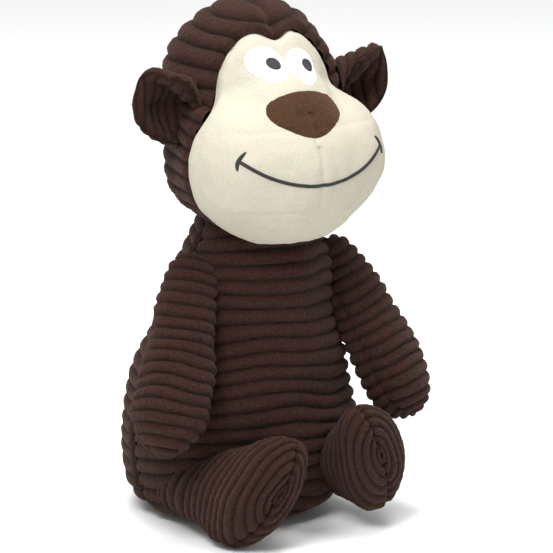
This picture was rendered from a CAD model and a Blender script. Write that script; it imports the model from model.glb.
"""Seated stuffed monkey: ribbed plush body, smooth cream face, embroidered eyes and smile.

Lengths are millimetres until a mesh is made, in the frame's own axes: the toy faces -Y, its left
side is +X, and the origin is in the flat of the seat. Every cloth panel is its own mesh, with real
ribs, tucked seams and a short uneven pile.
"""

import bpy
import numpy as np
from mathutils import Matrix, Vector


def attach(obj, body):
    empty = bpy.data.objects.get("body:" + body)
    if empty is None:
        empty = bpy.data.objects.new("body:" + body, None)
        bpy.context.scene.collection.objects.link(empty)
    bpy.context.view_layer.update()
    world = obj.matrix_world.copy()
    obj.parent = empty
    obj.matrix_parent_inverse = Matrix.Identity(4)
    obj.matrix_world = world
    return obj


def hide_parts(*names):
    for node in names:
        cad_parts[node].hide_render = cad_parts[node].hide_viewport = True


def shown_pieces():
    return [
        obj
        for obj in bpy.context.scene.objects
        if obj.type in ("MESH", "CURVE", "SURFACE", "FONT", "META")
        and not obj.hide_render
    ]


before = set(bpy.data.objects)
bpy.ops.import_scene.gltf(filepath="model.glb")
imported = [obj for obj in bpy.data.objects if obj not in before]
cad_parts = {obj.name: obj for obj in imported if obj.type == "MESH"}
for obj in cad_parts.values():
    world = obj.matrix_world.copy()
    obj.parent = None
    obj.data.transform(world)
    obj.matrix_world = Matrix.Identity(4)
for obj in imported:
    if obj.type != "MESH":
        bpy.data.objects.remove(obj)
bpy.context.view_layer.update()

MM = 0.001

# ---- Cloth -----------------------------------------------------------------------------------------
RIB_PITCH = 10.0
RIB_DEPTH = 3.3
ARM_PITCH, ARM_DEPTH = 8.4, 2.8
LEG_PITCH, LEG_DEPTH = 8.2, 2.7
EAR_DEPTH = 2.0
SEAM_TUCK = 3.0  # how deep a seam pulls the cloth in
SEAM_WIDE = 3.2
VALLEY_LIGHT = 0.15  # how much of the pile's own colour is left at the bottom of a valley
PILE_PER_MM2 = 0.8
PILE_LENGTH = 3.2
PILE_STRAY = 0.35
PILE_RADIUS = 0.14

# ---- Places ----------------------------------------------------------------------------------------
NECK = np.array((0.0, -28.0, 205.0))
SHOULDER = np.array((50.0, -31.0, 189.0))
HAND = np.array((100.0, -78.0, 62.0))
HIP = np.array((58.0, -14.0, 25.0))
SOLE_LEFT = np.array((45.0, -104.0, 54.0))
SOLE_RIGHT = np.array((37.0, -126.0, 46.0))  # mirrored with its leg
HEAD_RAY = np.array((0.0, -50.0, 275.0))  # the head is seen whole from this point inside it
EYE_X, EYE_Z = 12.7, 322.5
EYE_R = (11.2, 9.0)
EYE_RIM_R = (11.4, 9.2)
PUPIL_R = (4.7, 3.9)
PUPIL_SHIFT = (4.6, -0.6)
NOSE_Z = 294.5
NOSE_R = (26.5, 15.0)
MOUTH_HALF, MOUTH_LOW, MOUTH_RISE = 54.0, 250.0, 18.5


# ---- Small maths -----------------------------------------------------------------------------------
def unit(v):
    v = np.asarray(v, float)
    return v / np.maximum(np.linalg.norm(v, axis=-1, keepdims=True), 1e-12)


def smooth(x, low, high):
    t = np.clip((x - low) / (high - low), 0.0, 1.0)
    return t * t * (3 - 2 * t)


def curve(x, knots):
    """A smooth run through (x, value) knots, without overshoot."""
    xs, ys = np.array(knots, float).T
    step = np.diff(ys) / np.diff(xs)
    same = step[:-1] * step[1:] > 0
    middle = np.where(same, 2 * step[:-1] * step[1:] / np.where(same, step[:-1] + step[1:], 1), 0)
    slope = np.concatenate([step[:1], middle, step[-1:]])
    x = np.clip(x, xs[0], xs[-1])
    i = np.clip(np.searchsorted(xs, x, side="right") - 1, 0, len(xs) - 2)
    h = xs[i + 1] - xs[i]
    t = (x - xs[i]) / h
    a, b = 2 * t**3 - 3 * t**2 + 1, t**3 - 2 * t**2 + t
    c, d = -2 * t**3 + 3 * t**2, t**3 - t**2
    return a * ys[i] + b * h * slope[i] + c * ys[i + 1] + d * h * slope[i + 1]


def waves(points, size, count=24, seed=3):
    """Soft noise, about -1 to 1, whose lumps are about size across."""
    pick = np.random.default_rng(seed)
    k = unit(pick.normal(size=(count, 3))) * (2 * np.pi / size) * pick.uniform(0.6, 1.5, (count, 1))
    phase = pick.uniform(0, 2 * np.pi, count)
    return np.sin(points @ k.T + phase).sum(axis=-1) / np.sqrt(count) * 0.8


def rib(t):
    """Height 0 to 1 of round ribs with sharp valleys, one per unit of t."""
    across = np.abs(2 * (t - np.floor(t)) - 1)
    return (1 - across**2.1) ** 0.72


def valley_shade(rise):
    return VALLEY_LIGHT + (1 - VALLEY_LIGHT) * rise


# ---- Meshes ----------------------------------------------------------------------------------------
def grid_faces(rows, columns, wrap=False):
    i, j = np.meshgrid(np.arange(rows - 1), np.arange(columns if wrap else columns - 1), indexing="ij")
    k = (j + 1) % columns
    quads = [i * columns + j, i * columns + k, (i + 1) * columns + k, (i + 1) * columns + j]
    return np.stack(quads, axis=-1).reshape(-1, 4)


def make_mesh(name, points, faces, material, body, flip=False, rise=None):
    mesh = bpy.data.meshes.new(name)
    flat = np.asarray(points, float).reshape(-1, 3) * MM
    faces = np.asarray(faces)[:, ::-1] if flip else np.asarray(faces)
    mesh.vertices.add(len(flat))
    mesh.vertices.foreach_set("co", flat.ravel())
    mesh.loops.add(faces.size)
    mesh.loops.foreach_set("vertex_index", faces.ravel().astype(np.int32))
    mesh.polygons.add(len(faces))
    mesh.polygons.foreach_set("loop_start", np.arange(0, faces.size, faces.shape[1], dtype=np.int32))
    mesh.polygons.foreach_set("use_smooth", np.ones(len(faces), bool))
    mesh.update(calc_edges=True)
    if rise is not None:
        layer = mesh.attributes.new("rise", "FLOAT", "POINT")
        layer.data.foreach_set("value", np.asarray(rise, np.float32).ravel())
    mesh.materials.append(material)
    piece = bpy.data.objects.new(name, mesh)
    bpy.context.scene.collection.objects.link(piece)
    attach(piece, body)
    return piece


def grid_normals(points, wrap=False):
    """Unit normals of a grid of points, from its row and column steps."""
    down = np.gradient(points, axis=0)
    if wrap:
        across = np.roll(points, -1, axis=1) - np.roll(points, 1, axis=1)
    else:
        across = np.gradient(points, axis=1)
    return unit(np.cross(down, across))


def outward(normals, points, centre):
    """The normals, all turned to face away from centre."""
    side = np.sign(((points - centre) * normals).sum(-1).sum())
    return normals * side, side < 0


def pile(points, seed, height=0.22):
    """Uneven short pile: fine clumps and single tufts."""
    grain = np.random.default_rng(seed).normal(size=points.shape[:-1])
    clumps = 0.75 * waves(points, 3.2, 40, seed) + 0.5 * waves(points, 7.0, 24, seed + 1)
    return height * (clumps + 0.35 * grain)


# ---- Materials -------------------------------------------------------------------------------------
def rgb(red, green, blue):
    """A linear colour from 0-255 display values."""
    c = np.array((red, green, blue)) / 255
    return (*np.where(c <= 0.04045, c / 12.92, ((c + 0.055) / 1.055) ** 2.4), 1.0)


def plush(name, base, tip, sheen, grain, bump, valley=None):
    """Short pile: colour varies by tuft, with a soft sheen and a fine raised grain."""
    material = bpy.data.materials.new(name)
    material.use_nodes = True
    nodes, links = material.node_tree.nodes, material.node_tree.links
    shader = nodes["Principled BSDF"]
    shader.inputs["Roughness"].default_value = 0.95
    shader.inputs["Specular IOR Level"].default_value = 0.15
    shader.inputs["Sheen Weight"].default_value = sheen
    shader.inputs["Sheen Roughness"].default_value = 0.45
    shader.inputs["Sheen Tint"].default_value = (1.0, 0.72, 0.6, 1.0)
    place = nodes.new("ShaderNodeTexCoord")
    tufts = nodes.new("ShaderNodeTexNoise")
    tufts.inputs["Scale"].default_value = grain
    tufts.inputs["Detail"].default_value = 5.0
    tufts.inputs["Roughness"].default_value = 0.65
    shade = nodes.new("ShaderNodeValToRGB")
    shade.color_ramp.elements[0].position = 0.32
    shade.color_ramp.elements[0].color = base
    shade.color_ramp.elements[1].position = 0.68
    shade.color_ramp.elements[1].color = tip
    raised = nodes.new("ShaderNodeBump")
    raised.inputs["Strength"].default_value = bump
    raised.inputs["Distance"].default_value = 0.0006
    links.new(place.outputs["Object"], tufts.inputs["Vector"])
    links.new(tufts.outputs["Fac"], shade.inputs["Fac"])
    links.new(tufts.outputs["Fac"], raised.inputs["Height"])
    if valley is None:
        links.new(shade.outputs["Color"], shader.inputs["Base Color"])
    else:
        rise = nodes.new("ShaderNodeAttribute")
        rise.attribute_name = "rise"
        mix = nodes.new("ShaderNodeMix")
        mix.data_type = "RGBA"
        mix.inputs[6].default_value = valley
        links.new(rise.outputs["Fac"], mix.inputs[0])
        links.new(shade.outputs["Color"], mix.inputs[7])
        links.new(mix.outputs[2], shader.inputs["Base Color"])
    links.new(raised.outputs["Normal"], shader.inputs["Normal"])
    return material


def satin(name, colour, lines, turn):
    """Embroidery thread: parallel stitches with a little gloss."""
    material = bpy.data.materials.new(name)
    material.use_nodes = True
    nodes, links = material.node_tree.nodes, material.node_tree.links
    shader = nodes["Principled BSDF"]
    shader.inputs["Base Color"].default_value = colour
    shader.inputs["Roughness"].default_value = 0.5
    shader.inputs["Specular IOR Level"].default_value = 0.35
    place = nodes.new("ShaderNodeTexCoord")
    spin = nodes.new("ShaderNodeMapping")
    spin.inputs["Rotation"].default_value = (0, turn, 0)
    stitch = nodes.new("ShaderNodeTexWave")
    stitch.inputs["Scale"].default_value = lines
    stitch.inputs["Distortion"].default_value = 1.2
    stitch.inputs["Detail"].default_value = 2.0
    raised = nodes.new("ShaderNodeBump")
    raised.inputs["Strength"].default_value = 0.5
    raised.inputs["Distance"].default_value = 0.0003
    links.new(place.outputs["Object"], spin.inputs["Vector"])
    links.new(spin.outputs["Vector"], stitch.inputs["Vector"])
    links.new(stitch.outputs["Fac"], raised.inputs["Height"])
    links.new(raised.outputs["Normal"], shader.inputs["Normal"])
    return material


BROWN = plush("ribbed_plush", rgb(20, 10, 8), rgb(64, 38, 30), 0.07, 900.0, 1.3, rgb(8, 4, 3))
CREAM = plush("cream_plush", rgb(160, 155, 140), rgb(180, 175, 160), 0.05, 1300.0, 0.35)
NOSE = plush("nose_plush", rgb(40, 25, 15), rgb(76, 50, 33), 0.1, 1100.0, 0.6)
WHITE = satin("white_thread", rgb(200, 203, 214), 900.0, 0.6)
WHITE_EDGE = satin("white_edge_thread", rgb(222, 224, 232), 900.0, 1.2)
BLACK = satin("black_thread", rgb(30, 30, 32), 800.0, 0.3)
THREAD = satin("brown_thread", rgb(56, 37, 30), 700.0, 0.0)


# ---- Torso -----------------------------------------------------------------------------------------
# Half widths, half depths and the middle's y, each by height. The top is a dome inside the head.
TORSO_WIDE = (
    (-4, 0), (0, 46), (3, 56), (12, 68), (30, 76), (55, 79.5), (90, 75), (130, 63.5), (160, 56),
    (180, 51), (194, 46), (206, 42), (216, 40), (226, 35), (235, 26), (241, 16), (245, 1),
)
TORSO_DEEP = (
    (-4, 0), (0, 46), (3, 55), (12, 66), (30, 73), (55, 77), (90, 71), (130, 59), (160, 52),
    (180, 48), (194, 43), (206, 38), (216, 36), (226, 31), (235, 23), (241, 14), (245, 1),
)
TORSO_AXIS = ((0, 2), (30, 0), (55, -1), (90, -5), (130, -13), (170, -21), (206, -28))
TORSO_TOP = 245.0
NECK_FOLD = (202, 216)  # heights over which the ribs flatten into the head


def profile(knots, step, low, high):
    """Heights between low and high whose places on the outline are about step apart."""
    z = np.linspace(low, high, 4000)
    run = np.concatenate([[0], np.cumsum(np.hypot(np.diff(z), np.diff(curve(z, knots))))])
    return np.interp(np.linspace(0, run[-1], int(run[-1] / step) + 1), run, z)


def torso_panel(name, front):
    z = profile(TORSO_WIDE, 1.15, 0.0, TORSO_TOP)
    turn = np.linspace(0, np.pi, 230)
    side = -1.0 if front else 1.0
    wide, deep = curve(z, TORSO_WIDE)[:, None], curve(z, TORSO_DEEP)[:, None]
    points = np.stack(
        [
            wide * np.cos(turn),
            curve(z, TORSO_AXIS)[:, None] + side * deep * np.sin(turn),
            np.broadcast_to(z[:, None], (len(z), len(turn))),
        ],
        axis=-1,
    )
    normals, turned = outward(grid_normals(points), points, np.array((0, -10, 100)))
    fall, slant = (0.20, 0.05) if front else (0.02, 0.0)
    height = 0.97 * points[..., 2] + fall * points[..., 1] + slant * points[..., 0]
    height = height + 1.6 * waves(points, 60, seed=5)
    rise = rib(height / RIB_PITCH + 0.2)
    lift = RIB_DEPTH * rise * smooth(points[..., 2], 0.0, 10.0)
    edge = wide * np.minimum(turn, np.pi - turn)
    lift += 2.2 * waves(points, 60, seed=9) * smooth(points[..., 2], 2, 30)
    tuck = np.exp(-((edge / SEAM_WIDE) ** 2))
    lift -= SEAM_TUCK * tuck * smooth(points[..., 2], 3, 15)
    lift += pile(points, 11)
    lift = lift * (1 - 0.8 * smooth(points[..., 2], *NECK_FOLD))
    lift = np.where(points[..., 2] < 0.6, np.minimum(lift, 0.2), lift)
    points = points + normals * (lift - 1.0)[..., None]
    points[..., 2] = np.maximum(points[..., 2], 0.0)
    middle = np.zeros((1, len(turn), 3)) + (0.0, 2.0, 0.0)
    seat = np.concatenate([middle, points])
    rise = np.concatenate([rise[:1], rise]) * (1 - 0.6 * np.concatenate([tuck[:1], tuck]))
    faces = grid_faces(len(seat), len(turn))
    shade = valley_shade(rise)
    piece = make_mesh(name, seat, faces, BROWN, "torso", turned, shade)
    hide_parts(name)
    return piece


# ---- Head ------------------------------------------------------------------------------------------
def blob(points, centre, radii):
    """Rough distance to an ellipsoid, negative inside."""
    radii = np.asarray(radii, float)
    q = (points - centre) / radii
    near = np.linalg.norm(q, axis=-1)
    slope = np.linalg.norm(q / radii, axis=-1)
    return near * (near - 1) / np.maximum(slope, 1e-9)


def join(a, b, soft):
    h = np.clip(0.5 + 0.5 * (b - a) / soft, 0, 1)
    return b + (a - b) * h - soft * h * (1 - h)


def head_field(p):
    """Distance to the head's smooth form, negative inside."""
    skull = blob(p, (0, -19, 296), (60.5, 52, 63))
    jowl = blob(p, (0, -24, 248), (57, 54, 46))
    upper = blob(p, (0, -66, 258), (66, 49, 44))
    lower = blob(p, (0, -66, 246), (57, 47, 46))
    bridge = blob(p, (0, -68, 294), (30, 25, 25))
    cheeks = join(*(blob(p, (x, -64, 262), (25, 38, 34)) for x in (42, -42)), 6)
    form = join(join(skull, jowl, 22), join(upper, lower, 18), 13)
    form = join(form, bridge, 16)
    form = join(form, cheeks, 16)
    return np.maximum(form, 205.0 - p[..., 2])


def head_hit(directions, start=HEAD_RAY):
    """Where rays from inside the head leave it."""
    low = np.zeros(directions.shape[:-1])
    high = np.full(directions.shape[:-1], 150.0)
    for _ in range(24):
        middle = (low + high) / 2
        inside = head_field(start + directions * middle[..., None]) < 0
        low, high = np.where(inside, middle, low), np.where(inside, high, middle)
    return start + directions * ((low + high) / 2)[..., None]


def seam_slope(turn):
    """How far back the face's edge lies, as an angle from straight ahead, at each turn round it.

    turn is 0 at the toy's left and a quarter turn at the top.
    """
    c, s = np.cos(turn), np.sin(turn)
    top = np.exp(-(((np.abs(c)) / 0.16) ** 2)) * (s > 0)
    notch = np.exp(-(((s - 0.30) / 0.22) ** 2))
    degrees = 85.5 + 5.0 * (s > 0) * s - 7.0 * top - 4.0 * notch + 8.0 * smooth(-s, 0.3, 1.0)
    return np.radians(degrees)


def head_ray(turn, slope):
    """Directions from the head's middle: slope 0 is straight ahead."""
    across = np.sin(slope)
    return np.stack([across * np.cos(turn), -np.cos(slope), across * np.sin(turn)], axis=-1)


def crown_panel(name, side):
    rows, columns = 150, 290
    turn = np.linspace(-np.pi / 2, np.pi / 2, columns)
    if side < 0:
        turn = np.pi - turn
    edge_slope = seam_slope(turn)
    share = np.linspace(0, 1, rows)[:, None]
    slope = edge_slope + (np.pi - 0.002 - edge_slope) * share
    points = head_hit(head_ray(turn, slope))
    normals, turned = outward(grid_normals(points), points, HEAD_RAY)
    x, y, z = np.moveaxis(points, -1, 0)
    height = z - 0.05 * (y + 25) - 0.10 * np.abs(x) * smooth(z, 300, 350)
    height = height + 1.4 * waves(points, 55, seed=15)
    rise = rib(height / RIB_PITCH + 0.1)
    lift = RIB_DEPTH * rise
    face_gap = np.linalg.norm(points - points[:1], axis=-1)
    lift -= (SEAM_TUCK + 0.6) * np.exp(-((face_gap / SEAM_WIDE) ** 2))
    lift -= SEAM_TUCK * np.exp(-((np.abs(x) / SEAM_WIDE) ** 2))
    lift += 1.6 * waves(points, 55, seed=19) + pile(points, 21)
    points = points + normals * (lift - 1.4)[..., None]
    points[..., 2] = np.maximum(points[..., 2], 204.0)
    faces, shade = grid_faces(rows, columns), valley_shade(rise)
    piece = make_mesh(name, points, faces, BROWN, "head", turned, shade)
    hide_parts(name)
    return piece


def face_lift(points):
    """How far the face's cloth stands off the smooth head: soft puffs, creases and folds."""
    x, y, z = np.moveaxis(points, -1, 0)
    lift = 0.9 * waves(points, 46, seed=23) + 0.25 * waves(points, 15, seed=24)
    below_nose = np.exp(-((x / 2.6) ** 2)) * smooth(z, 236, 246) * (1 - smooth(z, 285, 290))
    lift = lift - 1.1 * below_nose
    # The edge of the backing behind the embroidery shows as a faint box round the mouth.
    box_x, box_z = np.abs(x) - 60.0, np.abs(z - 258.0) - 27.0
    level = np.exp(-((box_z / 1.8) ** 2)) * smooth(-box_x, 0, 12)
    upright = np.exp(-((box_x / 1.8) ** 2)) * smooth(-box_z, 0, 10)
    lift = lift - 0.45 * (level + upright) * (y < -60)
    brow = np.exp(-(((z - 344 + 0.35 * np.abs(x - 26)) / 1.6) ** 2)) * np.exp(-(((x - 24) / 9) ** 2))
    return lift - 0.8 * brow


def face_panel():
    rows, columns = 150, 460
    turn = np.linspace(-np.pi / 2, 1.5 * np.pi, columns, endpoint=False)
    slope = seam_slope(turn) * np.linspace(0.002, 1, rows)[:, None]
    points = head_hit(head_ray(turn, slope))
    normals, turned = outward(grid_normals(points, wrap=True), points, HEAD_RAY)
    gap = np.linalg.norm(points - points[-1:], axis=-1)
    lift = face_lift(points)
    lift -= (SEAM_TUCK + 0.6) * np.exp(-((gap / 3.6) ** 2))
    lift += pile(points, 27, 0.07)
    points = points + normals * lift[..., None]
    faces = grid_faces(rows, columns, True)
    piece = make_mesh("face_panel", points, faces, CREAM, "head", turned)
    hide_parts("face_panel")
    return piece


def on_face(x, z, lift):
    """Points on the face's cloth at x and z, raised by lift. The ray starts level with each point."""
    x, z, lift = np.broadcast_arrays(*(np.asarray(part, float) for part in (x, z, lift)))
    start = np.stack([x, np.full(x.shape, -52.0), z], axis=-1)
    ahead = np.broadcast_to(np.array((0.0, -1.0, 0.0)), start.shape)
    hit = head_hit(ahead, start)
    step = 0.5
    dx = head_hit(ahead, start + (step, 0, 0)) - hit
    dz = head_hit(ahead, start + (0, 0, step)) - hit
    normal = unit(np.cross(dx, dz))
    return hit + normal * (face_lift(hit) + lift)[..., None]


def oval_patch(name, centre, radii, heights, material):
    """A stitched oval on the face. heights is its outline from the middle, 0, to the rim, 1."""
    rings, columns = 26, 96
    turn = np.linspace(0, 2 * np.pi, columns, endpoint=False)
    share = np.linspace(0.001, 1, rings)[:, None]
    x = centre[0] + radii[0] * share * np.cos(turn)
    z = centre[1] + radii[1] * share * np.sin(turn)
    lift = curve(np.broadcast_to(share, x.shape), heights)
    lift = lift + 0.05 * np.sin(2 * np.pi * (x + 0.35 * z) / 0.9) * (share < 0.97)
    points = on_face(x, z, lift)
    normals, turned = outward(grid_normals(points, True), points, HEAD_RAY)
    return make_mesh(name, points, grid_faces(rings, columns, True), material, "head", turned)


def eyes():
    for side, name in ((1, "left"), (-1, "right")):
        centre = (side * EYE_X - 1.5, EYE_Z - 1.5 * side)
        low_dome = ((0, 0.55), (0.9, 0.5), (1, -0.6))
        white = oval_patch(f"eye_white_{name}", centre, EYE_R, low_dome, WHITE)
        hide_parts(f"eye_white_{name}")
        rim = oval_ring(f"eye_rim_{name}", centre, EYE_RIM_R, 1.1, 0.95, WHITE_EDGE)
        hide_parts(f"eye_white_{name}")
        look = (centre[0] + PUPIL_SHIFT[0], centre[1] + PUPIL_SHIFT[1])
        high_dome = ((0, 1.35), (0.75, 1.25), (1, 0.3))
        pupil = oval_patch(f"pupil_{name}", look, PUPIL_R, high_dome, BLACK)
        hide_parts(f"pupil_{name}")


def sweep(name, x, z, half, height, material, closed=False, stitch=0.9):
    """A raised line of satin stitches along x, z on the face, half wide to each side."""
    line = np.stack([x, z], axis=-1)
    if closed:
        ahead = np.roll(line, -1, axis=0) - np.roll(line, 1, axis=0)
    else:
        ahead = np.gradient(line, axis=0)
    ahead = unit(ahead)
    side = np.stack([-ahead[:, 1], ahead[:, 0]], axis=-1)
    run = np.concatenate([[0], np.cumsum(np.linalg.norm(np.diff(line, axis=0), axis=1))])
    across = np.linspace(-1, 1, 11)
    spread = np.broadcast_to(np.asarray(half, float), run.shape)[:, None] * across
    cord = np.abs(np.sin(np.pi * run / stitch))[:, None]
    lift = height * np.sqrt(np.maximum(1 - across**2, 0)) * (0.82 + 0.18 * cord) - 0.35
    px = line[:, :1] + side[:, :1] * spread
    pz = line[:, 1:] + side[:, 1:] * spread
    points = on_face(px, pz, lift)
    normals, turned = outward(grid_normals(points), points, HEAD_RAY)
    if closed:
        points = np.concatenate([points, points[:1]])
    faces = grid_faces(len(points), len(across))
    return make_mesh(name, points, faces, material, "head", turned)


def oval_ring(name, centre, radii, half, height, material):
    turn = np.linspace(0, 2 * np.pi, 180, endpoint=False)
    x, z = centre[0] + radii[0] * np.cos(turn), centre[1] + radii[1] * np.sin(turn)
    return sweep(name, x, z, half, height, material, closed=True, stitch=0.8)


def mouth():
    share = np.linspace(-1, 1, 420)
    x = MOUTH_HALF * share
    z = MOUTH_LOW + MOUTH_RISE * np.abs(share) ** 2.3
    smile = sweep("mouth_line", x, z, 1.35, 1.35, BLACK)
    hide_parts("mouth_embroidery")
    for side, name in ((1, "left"), (-1, "right")):
        along = np.linspace(-1, 1, 60)
        tx = side * (MOUTH_HALF + 0.5 + along * 3.0 - 2.2 * along**2)
        tz = MOUTH_LOW + MOUTH_RISE - along * 6.2
        taper = 1.25 * np.sqrt(np.maximum(1.05 - along**2, 0.02))
        tick = sweep(f"mouth_tick_{name}", tx, tz, taper, 1.45, BLACK)
        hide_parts("mouth_embroidery")


def nose_shape(turn):
    """A rounded triangle: broad above, drawn to a blunt point below."""
    c, s = np.cos(turn), np.sin(turn)
    drawn_in = 0.20 * smooth(-s, 0.1, 0.9) * np.abs(c)
    return 1.0 + 0.06 * np.cos(2 * turn) - drawn_in + 0.04 * (s < 0) * s**2


def nose():
    rings, columns = 60, 220
    turn = np.linspace(0, 2 * np.pi, columns, endpoint=False)
    share = np.linspace(0.001, 1, rings)[:, None]
    reach = nose_shape(turn)
    x = NOSE_R[0] * share * reach * np.cos(turn)
    z = NOSE_Z + NOSE_R[1] * share * reach * np.sin(turn)
    lift = 3.6 * (1 - np.broadcast_to(share, x.shape) ** 2.6) ** 0.7 - 0.5
    dart = np.exp(-((x / 1.7) ** 2)) * smooth(NOSE_Z + 3 - z, 0, 6)
    lift = lift - 1.1 * dart * (1 - np.broadcast_to(share, x.shape) ** 6)
    points = on_face(x, z, lift)
    normals, turned = outward(grid_normals(points, True), points, HEAD_RAY)
    points = points + normals * (pile(points, 31, 0.12) * (share < 0.98))[..., None]
    faces = grid_faces(rings, columns, True)
    piece = make_mesh("nose_patch", points, faces, NOSE, "head", turned)
    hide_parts("nose_patch")


# ---- Ears ------------------------------------------------------------------------------------------
EAR_LOW, EAR_HIGH = -27.0, 41.0  # the flat cloth, below and above the ear's middle
EAR_WIDE = 43.0
EAR_ROOT_X, EAR_MIDDLE_Z, EAR_BACK_Y = 55.0, 297.0, -30.0
EAR_ROLL = 7.0  # radius of the fold
EAR_BEND = 2.75  # radians that the flap is folded through


def ear_panel(side, front):
    """A cupped ear whose top is folded forward and down, as one of its two cloth layers."""
    rows, columns = 96, 60
    across = np.linspace(0, 1, columns)[None, :]
    up = np.linspace(EAR_LOW, EAR_HIGH, rows)[:, None]
    low = np.sqrt(np.maximum(1 - np.minimum(up, 0) ** 2 / 27.3**2, 0)) ** 0.9
    high = np.maximum(1 - (np.maximum(up, 0) / 42.0) ** 2.6, 0) ** 0.55
    width = EAR_WIDE * low * high
    x = EAR_ROOT_X + across * width + 0 * up
    fold_at = 6.0 + 12.0 * across
    over = np.maximum(up - fold_at, 0) / EAR_ROLL
    bend = np.minimum(over, EAR_BEND)
    tail = np.maximum(over - EAR_BEND, 0) * EAR_ROLL
    z = np.minimum(up, fold_at) + EAR_ROLL * np.sin(bend) + tail * np.cos(EAR_BEND)
    forward = EAR_ROLL * (1 - np.cos(bend)) + tail * np.sin(EAR_BEND)
    cup = 8.0 * np.sin(np.pi * across) * np.maximum(1 - (up / 30.0) ** 2, 0) * (1 - smooth(up, 0, 14))
    y = EAR_BACK_Y - forward + cup - 8.0 * across**2 - 3.0 * (up < 0) * (up / 27.0) ** 2
    points = np.stack([x, y, EAR_MIDDLE_Z + z + 0 * x], axis=-1)
    normals = grid_normals(points)
    normals = normals * np.sign(normals[: rows // 3, :, 1].mean())
    toward = -1.0 if front else 1.0
    rim = np.minimum(np.minimum((1 - across) * width, up - EAR_LOW), EAR_HIGH - up)
    puff = 3.6 * np.sqrt(smooth(rim, -0.5, 7.0))
    if front:
        rise = rib(x / 7.6 + 0.1 * waves(points, 40, seed=43))
    else:
        rise = rib((up * 0.45 + x * 0.95) / 8.0 + 0.1 * waves(points, 40, seed=44))
    lift = puff + (EAR_DEPTH * rise + pile(points, 41)) * smooth(rim, 0.2, 3.0)
    points = points + normals * toward * (lift - 1.0)[..., None]
    points[..., 0] *= side
    name = f"ear_{'left' if side > 0 else 'right'}_{'front' if front else 'back'}_panel"
    flip = (side > 0) == front
    body = "ear_left" if side > 0 else "ear_right"
    faces = grid_faces(rows, columns)
    piece = make_mesh(name, points, faces, BROWN, body, flip, 0.2 + 0.8 * rise)
    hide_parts(name)


# ---- Limbs -----------------------------------------------------------------------------------------
def limb_grid(knots_a, knots_b, length, step, columns, start, end):
    """Half a limb, as rows along it and columns round it, with the length run along its surface."""
    w = np.linspace(0, length, 6000)
    b = curve(w, knots_b)
    run = np.concatenate([[0], np.cumsum(np.hypot(np.diff(w), np.diff(b)))])
    along = np.linspace(0, run[-1], int(run[-1] / step) + 1)
    w = np.interp(along, run, w)
    turn = np.linspace(start, end, columns)
    a, b = curve(w, knots_a)[:, None], curve(w, knots_b)[:, None]
    return w, along, turn, a * np.cos(turn), b * np.sin(turn)


def limb_panel(name, place, knots, columns, outer, body, ribs, seed, bend=0.0, rib_start=0.0):
    """One cloth layer of a limb. Its ribs run round it, closer together up to rib_start."""
    length, (pitch, depth) = knots[0][-1][0], ribs
    start, end = (-np.pi / 2, np.pi / 2) if outer else (np.pi / 2, 1.5 * np.pi)
    w, along, turn, u, v = limb_grid(*knots, length, 1.05, columns, start, end)
    origin, axis_u, axis_v, axis_w = place
    sway = bend * np.sin(np.pi * w / length)[:, None]
    points = origin + (u + sway)[..., None] * axis_u + v[..., None] * axis_v + w[:, None, None] * axis_w
    centre = origin + axis_w * length / 2
    normals, turned = outward(grid_normals(points), points, centre)
    count = along / pitch
    if rib_start:
        count = count + 0.55 * (1 - smooth(along, 0, rib_start)) * along / pitch
    count = count[:, None] + 0.18 * waves(points, 48, seed=seed)
    rise = rib(count + 0.3)
    lift = depth * rise
    reach = np.hypot(u, v)
    from_seam = np.minimum(turn - start, end - turn) * reach
    lift -= SEAM_TUCK * np.exp(-((from_seam / SEAM_WIDE) ** 2)) * smooth(reach, 1, 10)
    lift += 1.3 * waves(points, 42, seed=seed + 1) + pile(points, seed + 2)
    points = points + normals * (lift - 1.2)[..., None]
    points[..., 2] = np.maximum(points[..., 2], 0.4)
    faces, shade = grid_faces(len(w), columns), valley_shade(rise)
    piece = make_mesh(name, points, faces, BROWN, body, turned, shade)
    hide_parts(name)
    return piece


# Half widths by distance from the limb's root, in the limb's two directions.
ARM_FRONT = (
    (0, 0), (1.5, 8), (6, 13.5), (20, 17), (60, 20), (92, 22), (112, 21), (125, 16.5), (132, 10.5),
    (135.5, 3), (136, 0),
)
ARM_SIDE = (
    (0, 0), (1.5, 8), (6, 14), (20, 18), (60, 22), (92, 25.5), (112, 25), (125, 20), (132, 13),
    (135.5, 4), (136, 0),
)
LEG_ACROSS = (
    (0, 0), (1.5, 9), (6, 14), (25, 19), (60, 22), (90, 24), (100, 23), (108, 19), (113, 13),
    (115.5, 5), (116, 0),
)
LEG_TALL = (
    (0, 0), (1.5, 9), (6, 15), (25, 20.5), (60, 31), (84, 41), (96, 43.5), (104, 40.5), (110, 33),
    (114, 23), (115.5, 14), (116, 0),
)


def mirrored(v, side):
    return np.asarray(v) * (side, 1, 1)


def arm(side):
    name = "left" if side > 0 else "right"
    axis = unit(HAND - SHOULDER)
    fore = unit(np.cross(axis, np.cross((-1.0, -0.62, 0.0), axis)))
    out = np.cross(fore, axis)
    out = out * np.sign(out[0])
    place = [mirrored(v, side) for v in (SHOULDER, out, fore, axis)]
    for outer in (True, False):
        node = f"arm_{name}_{'outer' if outer else 'inner'}_panel"
        knots, ribs = (ARM_FRONT, ARM_SIDE), (ARM_PITCH, ARM_DEPTH)
        body, seed = f"arm_{name}", 50 + 7 * side
        piece = limb_panel(node, place, knots, 84, outer, body, ribs, seed, bend=3.0)
        if outer:
            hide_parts(f"arm_{name}_stuffing")


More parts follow.
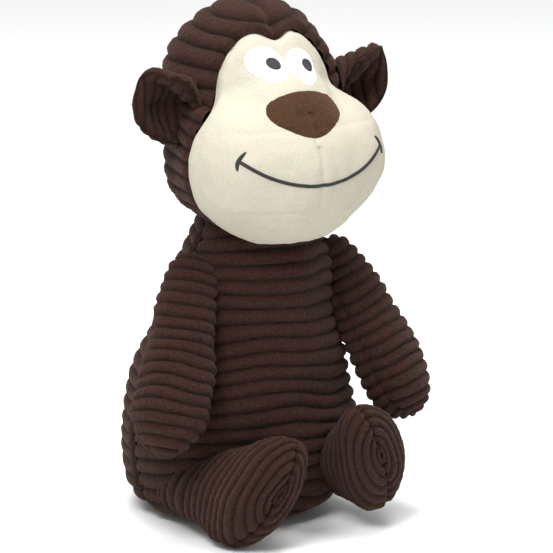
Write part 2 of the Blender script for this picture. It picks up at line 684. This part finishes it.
def leg(side):
    name = "left" if side > 0 else "right"
    sole = SOLE_LEFT if side > 0 else SOLE_RIGHT
    axis = unit(sole - HIP)
    toe = unit((-0.46, -0.27, 1.0))  # the sole tips forward of the leg's own square end
    out = unit(np.cross(toe, axis))
    out = out * np.sign(out[0])
    place = [mirrored(v, side) for v in (HIP, out, toe, axis)]
    for outer in (True, False):
        node = f"leg_{name}_{'outer' if outer else 'inner'}_panel"
        knots, ribs = (LEG_ACROSS, LEG_TALL), (LEG_PITCH, LEG_DEPTH)
        body, seed = f"leg_{name}", 80 + 9 * side
        piece = limb_panel(node, place, knots, 104, outer, body, ribs, seed, rib_start=60.0)
        if outer:
            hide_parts(f"leg_{name}_stuffing")


# ---- Seam threads ----------------------------------------------------------------------------------
# Joint, middle, the way that the loop faces, and radius.
SHOULDER_THREAD = ("shoulder", (50.0, -31, 187), (0.966, 0, 0.259), 5.0)
HIP_THREAD = ("hip", (62.0, -24, 26), (0.72, -0.48, -0.5), 12.0)
NECK_THREAD_R = 35.0


def thread_loop(name, centre, normal, radius, body):
    """A twisted seam thread laid in the fold between two sewn parts."""
    turn = np.linspace(0, 2 * np.pi, 160, endpoint=False)[:, None]
    around = np.linspace(0, 2 * np.pi, 10, endpoint=False)[None, :]
    normal = unit(np.asarray(normal, float))
    first = unit(np.cross(normal, (0.0, 1.0, 0.2)))
    second = np.cross(normal, first)
    thick = 0.5 * (1 + 0.18 * np.sin(around * 2 + turn * 60))
    ring = (radius + thick * np.cos(around))[..., None]
    out = np.cos(turn)[..., None] * first + np.sin(turn)[..., None] * second
    points = np.asarray(centre, float) + ring * out + (thick * np.sin(around))[..., None] * normal
    points = np.concatenate([points, points[:1]])
    return make_mesh(name, points, grid_faces(len(points), 10, True), THREAD, body)


# ---- Pile ------------------------------------------------------------------------------------------
def fuzz(piece, seed):
    """Short upright fibres over a cloth panel."""
    area = sum(face.area for face in piece.data.polygons) / MM**2
    system = piece.modifiers.new("pile", "PARTICLE_SYSTEM").particle_system
    system.seed = seed
    fibres = system.settings
    fibres.type = "HAIR"
    fibres.count = int(area * PILE_PER_MM2)
    fibres.hair_length = PILE_LENGTH * MM
    fibres.hair_step = 2
    fibres.use_advanced_hair = True
    fibres.factor_random = PILE_STRAY * MM
    fibres.emit_from = "FACE"
    fibres.root_radius = 1.0
    fibres.tip_radius = 0.35
    fibres.radius_scale = PILE_RADIUS * MM
    fibres.display_step = 2
    fibres.render_step = 2


# ---- Stage -----------------------------------------------------------------------------------------
AZIMUTH, ELEVATION = np.radians(-30.0), np.radians(14.0)
DISTANCE = 3200.0
FRAME_WIDE = 381.0  # the width that the picture covers at the toy, in mm
AIM_RIGHT, AIM_UP = 14.0, 163.5
SENSOR = 36.0
FLOOR = 6  # half the floor's width, in metres


def camera():
    level = np.array((np.sin(AZIMUTH), -np.cos(AZIMUTH), 0.0))
    back = level * np.cos(ELEVATION) + np.array((0.0, 0.0, np.sin(ELEVATION)))
    right = np.array((np.cos(AZIMUTH), np.sin(AZIMUTH), 0.0))
    up = np.cross(back, right)
    aim = np.array((0.0, -28.0, 0.0)) + right * AIM_RIGHT + up * AIM_UP
    lens = bpy.data.cameras.new("camera")
    lens.sensor_width = SENSOR
    lens.lens = DISTANCE * SENSOR / FRAME_WIDE
    eye = bpy.data.objects.new("camera", lens)
    turned = Matrix([[float(v[i]) for v in (right, up, back)] for i in range(3)]).to_4x4()
    place = Vector([float(c) * MM for c in aim + back * DISTANCE])
    eye.matrix_world = Matrix.Translation(place) @ turned
    bpy.context.scene.collection.objects.link(eye)
    bpy.context.scene.camera = eye


def panel_light(name, place, size, power):
    light = bpy.data.lights.new(name, "AREA")
    light.size = size
    light.energy = power
    lamp = bpy.data.objects.new(name, light)
    lamp.location = place
    lamp.rotation_euler = (Vector((0, 0, 0.15)) - Vector(place)).to_track_quat("-Z", "Y").to_euler()
    bpy.context.scene.collection.objects.link(lamp)


def stage():
    world = bpy.data.worlds.new("studio")
    world.use_nodes = True
    world.node_tree.nodes["Background"].inputs["Color"].default_value = (1, 1, 1, 1)
    world.node_tree.nodes["Background"].inputs["Strength"].default_value = 0.6
    bpy.context.scene.world = world
    bpy.context.scene.view_settings.view_transform = "Standard"
    floor = bpy.data.meshes.new("floor")
    corners = [(-FLOOR, -FLOOR, 0), (FLOOR, -FLOOR, 0), (FLOOR, FLOOR, 0), (-FLOOR, FLOOR, 0)]
    floor.from_pydata(corners, [], [(0, 1, 2, 3)])
    paint = bpy.data.materials.new("floor")
    paint.use_nodes = True
    shader = paint.node_tree.nodes["Principled BSDF"]
    shader.inputs["Base Color"].default_value = (0.9, 0.9, 0.9, 1)
    shader.inputs["Roughness"].default_value = 0.9
    floor.materials.append(paint)
    ground = bpy.data.objects.new("floor", floor)
    bpy.context.scene.collection.objects.link(ground)
    panel_light("key", (-1.1, -0.9, 1.7), 0.8, 40)
    panel_light("fill", (1.3, -1.3, 1.2), 1.2, 4)
    panel_light("top", (0.1, -0.1, 2.0), 1.2, 42)


# ---- The toy ---------------------------------------------------------------------------------------
front_piece = torso_panel("torso_front_panel", True)
back_piece = torso_panel("torso_back_panel", False)
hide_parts("torso_stuffing", "pellet_bag", "pellet_filling")
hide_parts("closing_stitches")
crown_left = crown_panel("crown_left_panel", 1)
crown_panel("crown_right_panel", -1)
face_piece = face_panel()
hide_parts("embroidery_backing")
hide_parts("head_stuffing")
eyes()
nose()
mouth()
for side, word in ((1, "left"), (-1, "right")):
    ear_panel(side, True)
    ear_panel(side, False)
    arm(side)
    leg(side)
    for joint, middle, normal, radius in (SHOULDER_THREAD, HIP_THREAD):
        place = mirrored(middle, side), mirrored(normal, side)
        loop = thread_loop(f"{joint}_{word}_thread", *place, radius, f"{joint}_{word}")
        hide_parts(f"{joint}_{word}_seam_thread")
loop = thread_loop("neck_thread", NECK, (0, 0, 1), NECK_THREAD_R, "neck")
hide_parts("neck_seam_thread")

for number, piece in enumerate(sorted(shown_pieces(), key=lambda o: o.name)):
    if piece.type == "MESH" and piece.data.materials and piece.data.materials[0] == BROWN:
        fuzz(piece, number)

camera()
stage()
